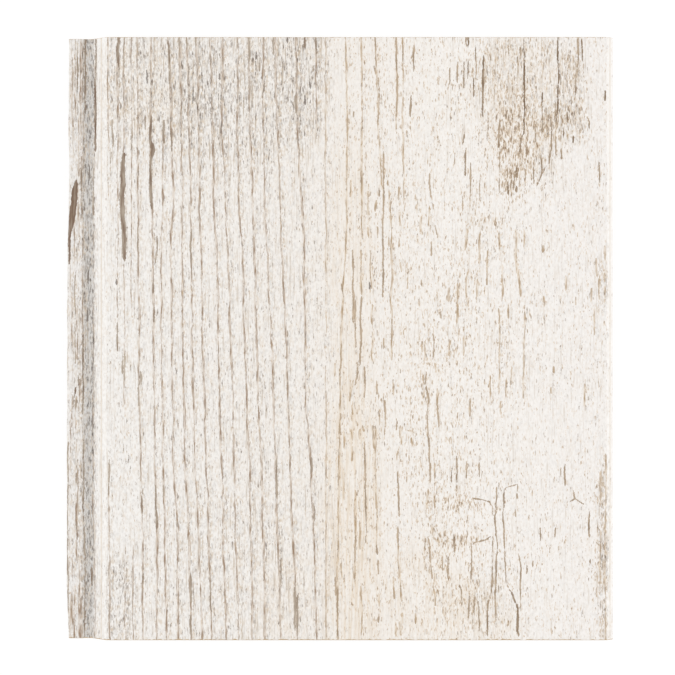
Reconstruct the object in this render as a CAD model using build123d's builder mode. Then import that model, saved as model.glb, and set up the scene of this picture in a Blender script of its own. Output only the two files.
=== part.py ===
from build123d import *
import os

# Short length of tongue-and-groove ceiling plank, lying on its back with the finished face up.
# X runs across the plank from the tongue edge (-X) to the groove edge (+X), and Y runs along it.
# The origin is on the back face, in the middle of the overall width and of the length.

# Driving dimensions, in millimetres
cover_width = 127.0          # laid width, from the foot of the tongue-side bevel to the groove-side edge
plank_length = 146.9         # between the two sawn ends
plank_thickness = 12.0       # from the back to the finished face
tongue_reach = 6.5           # how far the tongue stands out past the foot of its bevel
tongue_thickness = 4.0       # the tongue is centred in the plank's thickness
tongue_nose_radius = 0.7     # rounding of the tongue's two outer corners
channel_width = 2.9          # shallow channel along the tongue's root, for the heads of staples
channel_depth = 0.5
tongue_bevel_width = 3.6     # bevel from the finished face down to the top of the tongue
groove_bevel_width = 1.7     # narrower bevel of the groove edge, cut at the same slope
face_arris_radius = 0.3      # easing between the finished face and its two bevels
joint_play = 0.2             # clearance over and under the tongue when it is in a groove
groove_end_gap = 0.6         # room left beyond the tongue's nose in a closed joint
groove_lead_in = 0.4         # chamfer that guides the tongue into the groove
back_lip_setback = 0.6       # the back lip stops short, so that a joint closes on the face side
back_arris_ease = 0.4        # chamfer along the two edges of the back

# Across the plank
overall_width = cover_width + tongue_reach
x_tongue_nose = -overall_width / 2
x_bevel_foot = x_tongue_nose + tongue_reach
x_face_start = x_bevel_foot + tongue_bevel_width
x_groove_edge = overall_width / 2
x_face_end = x_groove_edge - groove_bevel_width
x_back_lip = x_groove_edge - back_lip_setback
x_groove_floor = x_groove_edge - tongue_reach - groove_end_gap

# Through the thickness
z_tongue_under = (plank_thickness - tongue_thickness) / 2
z_tongue_top = z_tongue_under + tongue_thickness
z_groove_under = z_tongue_under - joint_play
z_groove_top = z_tongue_top + joint_play
bevel_slope = (plank_thickness - z_tongue_top) / tongue_bevel_width
z_lip_edge = plank_thickness - groove_bevel_width * bevel_slope

with BuildPart() as plank:
    with BuildSketch(Plane.XZ) as section:
        with BuildLine():
            # Finished face with its two bevels, then round the groove, the back and the tongue
            Polyline(
                (x_bevel_foot, z_tongue_top),
                (x_face_start, plank_thickness),
                (x_face_end, plank_thickness),
                (x_groove_edge, z_lip_edge),
                (x_groove_edge, z_groove_top),
                (x_groove_floor, z_groove_top),
                (x_groove_floor, z_groove_under),
                (x_back_lip, z_groove_under),
                (x_back_lip, 0),
                (x_bevel_foot, 0),
                (x_bevel_foot, z_tongue_under),
                (x_tongue_nose, z_tongue_under),
                (x_tongue_nose, z_tongue_top),
                (x_bevel_foot - channel_width, z_tongue_top),
            )
            # Staple channel, a shallow round hollow at the tongue's root
            ThreePointArc(
                (x_bevel_foot - channel_width, z_tongue_top),
                (x_bevel_foot - channel_width / 2, z_tongue_top - channel_depth),
                (x_bevel_foot, z_tongue_top),
            )
        make_face()
        corners = section.vertices()
        tongue_nose = corners.group_by(Axis.X)[0]
        face_arrises = corners.group_by(Axis.Y)[-1]
        back_arrises = corners.group_by(Axis.Y)[0]
        face_lip_mouth = corners.group_by(Axis.X)[-1].sort_by(Axis.Y)[0]
        back_lip_mouth = corners.group_by(Axis.X)[-2].sort_by(Axis.Y)[-1]
        fillet(tongue_nose, tongue_nose_radius)
        fillet(face_arrises, face_arris_radius)
        chamfer(back_arrises, back_arris_ease)
        chamfer([face_lip_mouth, back_lip_mouth], groove_lead_in)
    extrude(amount=plank_length / 2, both=True)

os.makedirs("parts", exist_ok=True)
plank.part.label = "plank"
export_step(plank.part, "parts/plank.step")
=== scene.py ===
"""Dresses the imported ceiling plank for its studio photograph.

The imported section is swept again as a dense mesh, chipped along its sawn ends and embossed with its open
grain.  Its face side gets a whitewashed wood-grain print, and every other side shows bare fibreboard.
Lengths are in metres unless a name says otherwise, and places on the print are pixels of the 675 x 675
photograph, read off it.
"""
import logging
from dataclasses import dataclass
from enum import Enum
from typing import Any

import bpy
import numpy as np
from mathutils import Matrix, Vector


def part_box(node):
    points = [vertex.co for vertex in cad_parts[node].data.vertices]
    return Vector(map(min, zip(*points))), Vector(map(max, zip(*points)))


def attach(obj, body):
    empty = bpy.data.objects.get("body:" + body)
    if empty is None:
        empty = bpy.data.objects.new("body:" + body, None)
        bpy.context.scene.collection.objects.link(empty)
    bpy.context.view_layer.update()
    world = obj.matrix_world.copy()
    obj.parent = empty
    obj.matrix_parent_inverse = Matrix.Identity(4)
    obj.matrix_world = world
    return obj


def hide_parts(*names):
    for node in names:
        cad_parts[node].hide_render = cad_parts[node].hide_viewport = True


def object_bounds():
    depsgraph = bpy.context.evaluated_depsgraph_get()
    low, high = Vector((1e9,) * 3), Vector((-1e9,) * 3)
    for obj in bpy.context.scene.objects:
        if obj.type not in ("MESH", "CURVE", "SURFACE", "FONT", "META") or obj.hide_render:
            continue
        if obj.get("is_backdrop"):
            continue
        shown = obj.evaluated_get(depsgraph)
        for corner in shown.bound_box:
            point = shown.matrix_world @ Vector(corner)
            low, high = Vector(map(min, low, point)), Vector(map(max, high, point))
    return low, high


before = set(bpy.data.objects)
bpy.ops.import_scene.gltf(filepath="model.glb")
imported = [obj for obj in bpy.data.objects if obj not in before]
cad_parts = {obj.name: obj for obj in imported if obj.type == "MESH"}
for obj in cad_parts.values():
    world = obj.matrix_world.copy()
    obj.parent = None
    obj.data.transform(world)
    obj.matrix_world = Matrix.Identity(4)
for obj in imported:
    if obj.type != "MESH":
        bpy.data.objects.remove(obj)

LOG = logging.getLogger("ceiling_plank")
MM = 0.001
Pixel = tuple[float, float]
Tree = bpy.types.NodeTree
Socket = bpy.types.NodeSocket


def to_linear(hex_colour: str) -> tuple[float, float, float, float]:
    """Turns an sRGB hex colour into linear RGBA.

    Args:
        hex_colour: Colour as "#RRGGBB".

    Returns:
        The opaque linear colour.
    """
    channels = [int(hex_colour[i:i + 2], 16) / 255 for i in (1, 3, 5)]
    linear = [c / 12.92 if c <= 0.04045 else ((c + 0.055) / 1.055) ** 2.4 for c in channels]
    return linear[0], linear[1], linear[2], 1.0


def add_node(tree: Tree, kind: str, inputs: dict[Any, Any] | None = None,
             out: int | str = 0, **settings: Any) -> Socket | None:
    """Adds one node with its settings and links.

    Args:
        tree: Node tree that takes the node.
        kind: Blender's type name of the node.
        inputs: Values, or sockets to link from, by input name or index.
        out: Name or index of the output to give back.
        **settings: Properties of the node, set before its inputs.

    Returns:
        The chosen output socket, or None for a node without outputs.
    """
    node = tree.nodes.new(kind)
    for name, value in settings.items():
        setattr(node, name, value)
    for key, value in (inputs or {}).items():
        if isinstance(value, Socket):
            tree.links.new(value, node.inputs[key])
        else:
            node.inputs[key].default_value = value
    return node.outputs[out] if len(node.outputs) else None


@dataclass(frozen=True)
class PhotoView:
    """Where the photograph was taken from: straight above, with the plank's +Y up in the picture."""

    frame_px: float = 675.0
    px_per_mm: float = 4.106             # on the finished face
    height_over_face: float = 0.615
    aim: tuple[float, float] = (-0.48 * MM, 0.275 * MM)
    sensor_mm: float = 36.0

    @property
    def lens_mm(self) -> float:
        """Focal length that gives the photograph's scale on the face."""
        return self.sensor_mm * self.height_over_face * self.px_per_mm / MM / self.frame_px

    def pixels(self, places: np.ndarray, face_z: float) -> np.ndarray:
        """Projects places on the plank into the photograph.

        Args:
            places: Points in metres, one row each.
            face_z: Height of the finished face.

        Returns:
            Pixel columns and rows, one pair for each point.
        """
        scale = self.px_per_mm / MM * self.height_over_face / (self.height_over_face + face_z - places[:, 2])
        across = self.frame_px / 2 + (places[:, 0] - self.aim[0]) * scale
        down = self.frame_px / 2 - (places[:, 1] - self.aim[1]) * scale
        return np.stack((across, down), axis=1)

    def place_camera(self, face_z: float) -> bpy.types.Object:
        """Adds the camera over the plank and makes it the scene's own.

        Args:
            face_z: Height of the finished face.

        Returns:
            The camera object.
        """
        data = bpy.data.cameras.new("photo_view")
        data.lens = self.lens_mm
        data.sensor_width = self.sensor_mm
        camera = bpy.data.objects.new("photo_view", data)
        camera.location = (*self.aim, face_z + self.height_over_face)
        bpy.context.scene.collection.objects.link(camera)
        bpy.context.scene.camera = camera
        return camera


class Mark(Enum):
    """Kinds of mark in the print, named as their attributes on the mesh."""

    CRACK = "crack"      # open split, brown and crisp
    RING = "ring"        # latewood line, soft and uneven
    GREY = "grey"        # weathered grey fleck

    @property
    def offset(self) -> str:
        """Name of the attribute that tells how far to the side of its middle a place lies."""
        return f"{self.value}_offset"

    @property
    def half(self) -> str:
        """Name of the attribute that tells its half-width."""
        return f"{self.value}_half"


class Zone(Enum):
    """Stretches of the ground under the marks, named as their attributes on the mesh."""

    TONE = "tone"            # how dark the splits are
    FLAKING = "flaking"      # how much of the whitewash has flaked off
    GILDING = "gilding"      # how much golden wood shows through it
    WARMTH = "warmth"        # creamier than the rest
    LEDGE = "ledge"          # top of the tongue, toned darker: painted shade from the shoulder beside it
    HOLLOW = "hollow"        # painted shade in the staple channel, by the bevel's foot
    BEVEL = "bevel"          # bevels, where a whiter tone is laid over the print, marks and all: painted light, as they face the light boxes
    SCORE = "score"          # thin tan line along the bevels
    BOARD = "board"          # the golden one of the two printed boards


@dataclass(frozen=True)
class Streak:
    """One mark of the print, tapered at both ends, along a path of pixels."""

    width: float
    path: tuple[Pixel, ...]
    reach: float = 14.0                  # pixels over which its distance is still told
    taper_share: float = 0.4             # most of its length that either taper takes
    taper_widths: float = 2.5            # length of a taper, in widths
    tip_share: float = 0.35              # width left at the tips

    def profile(self, places: np.ndarray) -> tuple[np.ndarray, np.ndarray, np.ndarray, np.ndarray]:
        """Tells how each place near the streak lies to it.

        Args:
            places: Pixel columns and rows, one pair for each place.

        Returns:
            Which places are near, how deep inside the streak's edge they lie, how far to the side of its
            middle, and its half-width there, all in pixels.
        """
        path = np.array(self.path)
        near = np.flatnonzero(((places > path.min(axis=0) - self.reach)
                               & (places < path.max(axis=0) + self.reach)).all(axis=1))
        here = places[near]
        steps = np.diff(path, axis=0)
        lengths = np.hypot(steps[:, 0], steps[:, 1])
        total = lengths.sum()
        taper = min(self.taper_share * total, self.taper_widths * self.width)
        depth, offset, half = np.full(len(near), -np.inf), np.zeros(len(near)), np.zeros(len(near))
        for start, step, length, run in zip(path, steps, lengths, np.cumsum(lengths) - lengths):
            away = here - start
            along = np.clip(away @ step / length ** 2, 0.0, 1.0)
            gap = np.hypot(*(away - along[:, None] * step).T)
            side = np.sign(away[:, 0] * step[1] - away[:, 1] * step[0])
            passed = run + along * length
            swell = np.sqrt(np.clip(np.minimum(passed, total - passed) / taper, 0.0, 1.0))
            reach = self.width / 2 * (self.tip_share + (1 - self.tip_share) * swell)
            deeper = reach - gap > depth
            depth[deeper] = (reach - gap)[deeper]
            offset[deeper] = (side * gap)[deeper]
            half[deeper] = reach[deeper]
        return near, depth, offset, half


def along(width: float, *path: Pixel) -> Streak:
    """Makes a streak of the given width through the pixels of its path."""
    return Streak(width, path)


def dash(width: float, column: float, top: float, foot: float) -> Streak:
    """Makes a streak of the given width that runs straight down one column of pixels."""
    return Streak(width, ((column, top), (column, foot)))


RING_ROWS = (36.0, 130.0, 205.0, 240.0, 318.0, 405.0, 462.0, 545.0, 641.0)


def ring(width: float, *columns: float, first: int = 0) -> Streak:
    """Makes a long latewood line.

    Args:
        width: Width in pixels.
        *columns: Where it crosses the reading rows, one after the other.
        first: Number of the row that the first column belongs to.

    Returns:
        The streak.
    """
    return Streak(width, tuple(zip(columns, RING_ROWS[first:])))


@dataclass(frozen=True)
class Patch:
    """Soft oval of the print in which the ground is worn, gilded or warmed more than elsewhere."""

    centre: Pixel
    radii: Pixel
    gain: float
    full_at: float = 0.4                 # share of the radii up to which it counts in full
    gone_at: float = 1.2                 # and from which it doesn't count

    def weight(self, places: np.ndarray) -> np.ndarray:
        """Tells how much the patch adds at each place."""
        away = np.hypot(*((places - np.array(self.centre)) / np.array(self.radii)).T)
        ease = np.clip((self.gone_at - away) / (self.gone_at - self.full_at), 0.0, 1.0)
        return self.gain * ease * ease * (3 - 2 * ease)


LATEWOOD = (
    ring(0.9, 108, 108, 108.5), ring(1.1, 109, 109, 110, first=6), ring(1.2, 117.5, 117.5, 117.8),
    ring(0.5, 117.8, 118, 117.5, first=2), ring(0.9, 124, 123.5, 123, 124),
    ring(0.6, 124, 124.5, 124, first=3), ring(0.8, 125, 125, first=7), ring(0.7, 131.5, 131.7, 131.5),
    ring(0.4, 131.5, 131, 131.5, first=2), ring(0.7, 133, 133, first=7),
    ring(1.3, 137.3, 137.6, 138, 138, 139, 139, 141, 142.5, 143),
    ring(1.7, 151.4, 150.3, 151.4, 152.6, 153.2, 154.4, 155, 157.3, 156.7),
    ring(1.5, 163.8, 162.5, 161.5, 160.9, 162.6, 163.2, 165, 166.8, first=1),
    ring(1.8, 168.5, 171.5, 173.3, 170.9, 171.5, 173, 173.3, 178, 177.4),
    ring(1.7, 179.7, 181.5, 182.1, 182.1, 182.5, 184, 185, 189.2, 191),
    ring(1.6, 186.8, 189.2, 190.4, 191, 192.1, 193.3, 195.1, 199.2, 202.2),
    ring(1.5, 196.3, 199.2, 199.2, 201, 202.2, 204.5, 206.3, 209.2, 211.6),
    ring(1.6, 209.8, 212.8, 213.4, 216.9, 218.1, 219.3, 221.6, 223.4, 226.4),
    ring(1.6, 222.8, 221.6, 225.8, 227.5, 229.9, 232.8, 234, 235.8, 239.3),
    ring(1.6, 238, 237, 239.3, 242, 243.5, 247.1, 249.4, 251.2, 252.4),
    ring(1.6, 248.3, 250, 253, 254.2, 255.9, 258.3, 261.2, 263.6, 264.8),
    ring(1.6, 263, 263, 264.8, 266.5, 270.7, 273.6, 275.4, 277.8, 281.3),
    ring(1.6, 275, 277.2, 280.7, 280.7, 285.4, 288.4, 289.6, 293, 297.8),
    ring(1.6, 296, 297.2, 301.9, 303.7, 304.9, 306, 310.8, 314.3, 316.7), ring(1.6, 316, 316.3),
    ring(1.1, 325.5, 325.6, 325.6, 325.7, 325.8, 326, 326, 326.1, 326.1),
    ring(1.5, 345.6, 347.4, 346.2, 346.2, 341.5, 340, 339.1, 338, 337.3), ring(1.5, 361.5, 362.1, 361.5),
    ring(1.5, 375.7, 378.6, 383.3), ring(1.5, 396.3, 396.9), ring(1.0, 402.8, 403, 404),
)

SPLITS_LEFT = (
    along(3.0, (118.4, 36), (118, 50), (118.8, 66)), along(1.2, (119.3, 64), (119.6, 88)),
    dash(1.2, 124.3, 36, 69), along(2.2, (168.5, 40), (169.7, 65)), dash(1.2, 169.7, 65, 86),
    along(1.8, (179.2, 36), (179.4, 46)), along(2.0, (186.8, 37), (187, 49)),
    along(1.6, (195.7, 36), (196, 46)), along(2.4, (163.8, 120), (164.4, 144)),
    along(1.8, (171.5, 130), (171.6, 153)), along(1.6, (111.3, 118), (112.5, 146)),
    dash(1.4, 131.7, 128, 153), along(1.8, (144.8, 114), (145, 130)),
    along(2.8, (151.4, 117), (150.3, 131.5), (150.3, 144)),
    along(4.6, (150.6, 141), (153.6, 149.5), (152.4, 157)),
    along(2.8, (152.4, 155), (150.8, 163), (150.8, 195), (151.4, 210)),
    along(5.0, (124.3, 153), (123.1, 166), (123.1, 183), (122, 198), (122.5, 215), (123.7, 230),
          (124.3, 248), (124.5, 260)),
    along(4.2, (124.4, 245), (124.5, 261)), dash(1.3, 111.3, 151, 165), dash(1.2, 108.4, 171, 184),
    dash(1.6, 117.2, 322, 352), dash(1.3, 122.5, 352, 375), dash(1.1, 124.9, 352, 383),
    dash(1.3, 138.5, 382, 407), dash(1.8, 141.4, 371, 384), dash(1.3, 137.9, 229, 252),
    dash(1.9, 153.2, 281, 294), dash(2.0, 153.8, 307, 323),
    along(1.4, (157.3, 235), (156.8, 252), (154.2, 266)), dash(1.7, 191, 229, 263),
    dash(1.3, 109, 458, 495), dash(1.8, 142.6, 488, 516), dash(2.2, 143.2, 574, 585),
    along(1.9, (155.6, 485), (156.4, 530)), dash(1.8, 163.8, 485, 496), dash(2.0, 191, 572, 604),
    dash(2.0, 190.4, 614, 637), dash(1.7, 210.4, 579, 612),
)

SPLITS_MIDDLE = (
    along(3.0, (304.9, 36), (305, 49)), along(1.9, (316.1, 36), (316.2, 55)), dash(1.8, 313.1, 64, 72),
    dash(1.7, 259.5, 57, 72), dash(1.8, 273, 36, 56), dash(1.6, 248.8, 36, 62), dash(1.6, 295.5, 95, 114),
    dash(1.7, 375.7, 36, 75), dash(1.4, 378.6, 76, 123), dash(1.8, 396.3, 36, 71),
    dash(1.2, 396.9, 70, 118), dash(1.3, 402.8, 48, 72), along(2.0, (414, 45), (413, 60), (413.4, 72)),
    along(1.2, (410, 55), (413, 63)), dash(2.0, 411, 95, 117), dash(1.6, 353.3, 110, 118),
    dash(1.8, 294.9, 587, 631), dash(1.8, 297.8, 595, 634), dash(1.8, 280.7, 557, 586),
    dash(1.8, 276.6, 457, 499), dash(2.6, 311.4, 457, 473), dash(2.0, 314.3, 503, 523),
)

SPLITS_BAND = (
    along(1.8, (383.5, 150), (383.2, 220), (383.5, 250), (383, 280), (382.5, 298)),
    along(1.5, (353, 248), (353, 270), (353, 285), (354, 297)),
    along(1.5, (352.4, 292), (352.8, 304), (352, 323)),
    along(1.4, (354.6, 300), (355, 330), (355.5, 348)),
    along(1.8, (361, 296), (360.5, 312), (361, 335), (360.5, 350), (360.5, 366)),
    along(1.6, (342, 283), (343, 298)), along(1.8, (357, 362), (358, 374), (355, 386)),
    along(1.6, (364, 365), (365, 378), (365, 390), (364, 398)), along(1.4, (376.5, 380), (377, 396)),
    along(1.8, (384, 398), (384.8, 410), (385, 420)), along(1.3, (385, 418), (384.5, 436)),
    along(1.4, (392, 318), (391.5, 340)), along(1.4, (389, 235), (389.5, 247)),
    along(1.6, (399.5, 238), (399, 249)), along(1.6, (361, 172), (361.5, 186)),
    along(1.6, (378.5, 188), (379, 197)), dash(1.4, 390.5, 200, 213),
    along(1.6, (429, 172), (430, 190), (431.5, 200)), along(1.4, (432.5, 202), (433.5, 210)),
    along(1.4, (435.5, 225), (438, 238)), along(1.4, (431.5, 240), (431, 257)),
    along(1.8, (421, 280), (421.5, 287)), along(1.6, (441.5, 310), (442, 320)),
    along(1.6, (433, 332), (434, 342), (433, 360)), along(1.4, (423, 374), (424, 386)),
    dash(1.2, 426, 371, 384), along(1.8, (425, 385), (428, 397), (429, 404)),
    along(1.6, (428, 404), (428, 425), (428.5, 437), (429.5, 450), (430, 465), (429.5, 484)),
    along(1.4, (437, 403), (439, 417), (439.5, 424), (438.5, 429)), along(1.6, (340, 412), (340.5, 421)),
    along(1.6, (340, 427), (340.5, 436)),
    along(1.7, (364.5, 440), (365, 452), (365.6, 470), (365.6, 500), (366, 522)),
    dash(1.3, 366, 520, 543), along(1.7, (398, 470), (398, 490), (398.5, 505), (399, 518)),
    along(1.6, (398, 525), (398.2, 543)), along(1.6, (397, 420), (396.5, 430)),
    dash(1.6, 335.5, 576, 595), along(1.8, (338, 590), (337.6, 615), (337.5, 637)),
    along(1.4, (355.5, 535), (355.3, 550), (354.8, 566)), along(1.6, (377, 545), (377.8, 556)),
    dash(1.4, 378.5, 560, 575), along(2.0, (378.5, 614), (378, 623)), dash(1.6, 400.5, 584, 592),
    along(1.6, (425, 538), (426, 552)), along(1.6, (427.5, 536), (430, 545), (431, 560), (431.5, 580)),
    along(1.4, (442.5, 556), (442, 573)),
)

STROKES_BAND = (
    along(1.4, (351, 180), (350.5, 198)), along(1.4, (362, 185), (361.5, 215), (362.5, 240)),
    along(1.4, (367, 190), (368, 205), (368.5, 216)), along(1.5, (368, 226), (369, 238)),
    along(1.3, (370, 250), (371, 290)), dash(1.3, 361, 250, 296), along(1.4, (376, 200), (375, 212)),
    dash(1.4, 378, 226, 238), along(1.6, (387.5, 180), (388, 187)),
    along(1.3, (388.5, 190), (391, 218), (392, 235), (391.5, 250), (392, 275), (391, 300)),
    dash(1.4, 398.5, 185, 200), along(1.4, (399, 212), (400, 226)), along(1.8, (400, 262), (401, 272)),
    along(1.2, (407, 262), (407.5, 290)), along(1.6, (417.5, 203), (417, 214)),
    along(1.5, (421.5, 216), (421, 228), (423, 236)), along(1.3, (429.5, 205), (429, 228)),
    along(1.5, (372, 303), (372, 318), (373, 326)), along(1.5, (372, 330), (372, 356), (374, 364)),
    along(1.4, (390, 298), (391, 308), (392, 322), (391.5, 340), (392, 362)),
    along(1.6, (400, 330), (401, 336)), along(1.6, (403.5, 330), (404, 334)),
    along(1.4, (383, 338), (384, 350)), along(1.4, (383.5, 363), (383, 371)),
    along(1.3, (335, 362), (335.5, 376)), along(1.6, (354, 380), (350.5, 392), (349.5, 401)),
    along(1.4, (361, 376), (361.5, 384)), along(1.5, (393, 380), (394, 398)),
    along(1.3, (421, 390), (422.5, 400)), dash(1.6, 422, 340, 353), dash(1.3, 425, 340, 362),
    dash(1.4, 437, 388, 406), along(1.4, (435, 362), (436, 372)), along(1.3, (343.5, 430), (344, 450)),
    along(1.4, (338.5, 448), (339, 460), (338.5, 476)), along(1.5, (352, 405), (352.5, 416)),
    dash(1.4, 357, 408, 415), along(1.5, (351.5, 428), (352, 441)), dash(1.5, 359.5, 428, 440),
    dash(1.6, 352.5, 446, 462), along(1.4, (362, 424), (364.5, 433)),
    along(1.5, (372, 424), (373, 438), (374.5, 450)),
    along(1.5, (376, 428), (376, 445), (375.5, 465), (376, 480), (376.5, 510), (376.5, 540), (377, 548)),
    along(1.7, (379, 408), (379.5, 425)), along(1.5, (400.5, 425), (401.5, 445)),
    along(1.5, (399, 448), (397, 460)), along(1.4, (408, 430), (414, 430)),
    along(1.5, (411, 436), (413, 447)), along(1.3, (428, 488), (427.5, 500), (427, 510)),
    along(1.4, (435, 426), (438, 430)), along(1.3, (434, 452), (434.5, 465), (434, 500), (435.5, 510)),
    along(1.3, (344, 480), (344.5, 500)),
    along(1.4, (355.5, 490), (355, 510), (355.5, 540), (354.5, 580)),
    along(1.6, (359.5, 497), (360, 512)), along(1.4, (359.5, 520), (360.5, 550)),
    along(1.4, (337.5, 536), (338, 556)), along(1.3, (341, 562), (342.5, 580)),
    along(1.4, (361.5, 585), (361, 600), (362, 610), (361, 635)), along(1.3, (379, 593), (378.5, 608)),
    along(1.4, (398.5, 543), (399, 560), (400, 575), (400.5, 592), (401.5, 602)),
    along(1.3, (393.5, 575), (394, 600)), dash(1.5, 396, 622, 638), along(1.5, (400, 622), (401, 638)),
    along(1.4, (402.5, 612), (403, 624)), dash(1.3, 425, 555, 570), along(1.5, (432, 524), (432.5, 535)),
    dash(1.5, 434.5, 573, 583), along(1.5, (432.5, 586), (435, 595), (435, 606)),
    along(1.5, (438, 537), (439.5, 543)), dash(1.5, 415.5, 612, 625),
)

SPLITS_TOP_RIGHT = (
    along(1.9, (483.9, 54), (483.5, 78), (483.4, 105)), along(1.6, (522, 134), (519.5, 155)),
    along(1.8, (518.2, 164), (513.2, 189)), along(1.3, (554.5, 103), (556.6, 125)),
    dash(1.1, 535, 122, 144), dash(1.5, 499, 118, 149), dash(1.0, 499.6, 153, 194),
    along(1.4, (578.4, 36), (578, 64)), dash(1.1, 577.5, 64, 76), dash(1.3, 575.7, 76, 95),
    along(1.6, (475.4, 46), (475.6, 61)), dash(1.0, 476.6, 59, 78), dash(1.3, 464.2, 61, 89),
    dash(1.3, 457.7, 61, 83), dash(1.4, 450, 67, 86), dash(1.6, 467.8, 36, 48), dash(1.3, 465.4, 36, 45),
    dash(1.7, 482.5, 104, 118), along(1.2, (487.8, 110), (487.4, 131)), dash(1.0, 487.2, 130, 142),
    dash(1.5, 551.5, 121, 155), along(1.8, (550, 153), (549.4, 165)),
    along(1.5, (546, 166), (541, 176), (536, 187)), dash(1.4, 541.5, 152, 172),
    dash(1.1, 533.8, 165, 184), dash(1.7, 563.9, 127, 137), dash(1.6, 567, 112, 124),
    dash(1.4, 561.6, 114, 127), dash(1.6, 573.3, 135, 144), dash(1.7, 583.4, 128, 136),
    dash(1.4, 589.9, 121, 130), dash(1.3, 556.2, 135, 157), dash(1.6, 561.5, 147, 160),
    dash(1.1, 526.2, 142, 161), dash(1.1, 525.6, 162, 180), along(1.8, (508, 180), (508.4, 195)),
    dash(1.6, 516.7, 185, 193), dash(1.6, 517.3, 56, 64), dash(1.3, 520.8, 46, 57),
    dash(1.2, 509, 38, 55), along(1.6, (464.8, 131), (462, 145)), dash(1.3, 465.4, 150, 177),
    dash(1.1, 454.2, 151, 166), along(1.0, (437, 135), (440.6, 146)), dash(1.4, 599.3, 161, 183),
    dash(1.8, 605.2, 89, 102), dash(1.1, 470.7, 162, 202), dash(1.1, 480, 170, 203),
    dash(1.1, 484.9, 181, 193), dash(1.0, 463, 194, 212),
)

SPLITS_PATCH = (
    along(1.4, (524.4, 36), (524.5, 70), (524.4, 102)), along(1.4, (524.4, 100), (523.8, 136)),
    along(1.4, (558, 36), (558.2, 75), (557.6, 113)), dash(1.1, 542, 91, 133),
    along(1.1, (582.2, 38), (582, 63)), dash(1.3, 468.3, 58, 79), dash(1.3, 474.2, 79, 98),
)

SPLITS_RIGHT = (
    along(2.2, (466.8, 228), (465, 250)), along(1.5, (479.6, 229), (479.2, 265)),
    along(1.9, (515.4, 228), (515.5, 259.5), (518.5, 275), (520.9, 296)), dash(1.8, 523.8, 228, 249),
    dash(1.6, 487.2, 250, 286), dash(1.9, 502.6, 264, 298), along(1.6, (499, 232), (499.2, 255)),
    along(1.3, (499, 307), (499.2, 393)), dash(2.2, 457.7, 283, 324), dash(1.6, 466.6, 272, 300),
    dash(1.6, 477.2, 279, 297), dash(2.4, 449, 287, 302), dash(2.0, 543.3, 245, 253),
    along(1.8, (565.7, 276), (565.9, 293)), along(1.8, (558.4, 294), (560.4, 297), (560.4, 305)),
    dash(1.4, 543.9, 295, 308), dash(1.9, 598.7, 278, 299), along(2.0, (604, 273), (603.8, 281)),
    dash(2.0, 604.6, 285, 297), along(1.5, (598.7, 298), (603.8, 299)), dash(1.4, 596.4, 257, 278),
    dash(2.2, 605.2, 245, 261), dash(1.4, 591, 288, 303), along(1.6, (525, 310), (524.6, 333)),
    along(1.6, (524.4, 332), (524, 353), (523.8, 400)), dash(1.4, 508.5, 305, 319),
    dash(1.3, 463.6, 335, 356), dash(2.2, 449, 339, 357), dash(1.6, 490.2, 375, 401),
    along(1.6, (512, 365), (511, 385)), dash(1.6, 506.7, 377, 401), dash(1.6, 500.8, 400, 416),
    dash(1.8, 470, 398, 417), dash(1.6, 553.9, 365, 374), dash(1.8, 551.5, 386, 394),
    along(1.5, (584.6, 382), (584.2, 406)), dash(1.0, 594.6, 307, 336),
    along(1.1, (605.6, 453), (605.8, 480), (605.2, 520), (605.6, 560), (604.8, 600), (605.4, 640)),
    along(1.6, (600.5, 470), (600.2, 500)), along(1.6, (600.8, 530), (600, 560), (601, 585)),
)

SPLITS_LOW_RIGHT = (
    along(1.4, (496.7, 487), (496.7, 512), (494.9, 517), (495.5, 527)),
    along(1.4, (495.7, 525), (497.4, 552), (495.9, 558), (495.4, 597), (496.2, 618)),
    along(1.1, (492.2, 536), (492, 585), (490.4, 601)),
    along(1.0, (503.7, 491), (506, 487.5), (517.3, 484.5)), dash(1.3, 517.9, 484, 499),
    dash(1.0, 515.5, 508, 519), dash(1.7, 504.3, 489, 510),
    along(1.4, (504, 508), (502.6, 521), (503.7, 526), (504.9, 561), (506, 583), (511.4, 592)),
    along(1.9, (511.4, 591), (513.8, 597), (517.9, 608)), along(2.4, (517.9, 606), (517.3, 633)),
    along(1.5, (517.6, 630), (519.7, 638)),
    along(1.3, (471.3, 498), (483, 499.8), (490.2, 502), (493.1, 507), (493.1, 515)),
    along(1.3, (490.2, 536.4), (485.5, 540), (474.8, 542.3), (471.3, 545)),
    along(1.5, (471.3, 544), (471.3, 569), (470.7, 581)), dash(1.8, 454.2, 534, 553),
    dash(1.7, 451.2, 468, 482), dash(1.5, 456.5, 456, 491), dash(1.1, 479, 460, 480),
    dash(1.1, 466, 461, 480), dash(1.3, 447.7, 556, 580),
    along(1.3, (458.3, 583), (461.3, 591), (461.3, 608)), along(1.5, (473.7, 595), (474.8, 615)),
    along(1.4, (477.2, 599), (480, 608.5), (479.3, 631)), along(1.7, (488.4, 600), (487.2, 637)),
    dash(1.3, 469, 596, 621), along(1.3, (517.9, 553), (520.6, 565), (520.8, 608)),
    dash(1.6, 565.1, 463, 486), dash(1.1, 561.4, 467, 478), along(1.3, (573.3, 490), (575.7, 499)),
    along(1.3, (575.7, 498.5), (569.8, 502)), along(1.3, (575.7, 498.5), (584.6, 505)),
    along(1.5, (590.5, 509), (588, 522), (590, 538)), dash(1.2, 540.3, 527, 541),
    dash(1.2, 555, 527, 537), dash(1.3, 549.8, 545, 553), dash(1.3, 532.6, 560, 568),
    dash(1.3, 526.7, 565, 574), dash(1.7, 589.9, 558, 565), along(1.3, (596, 542), (600, 546)),
)

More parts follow.
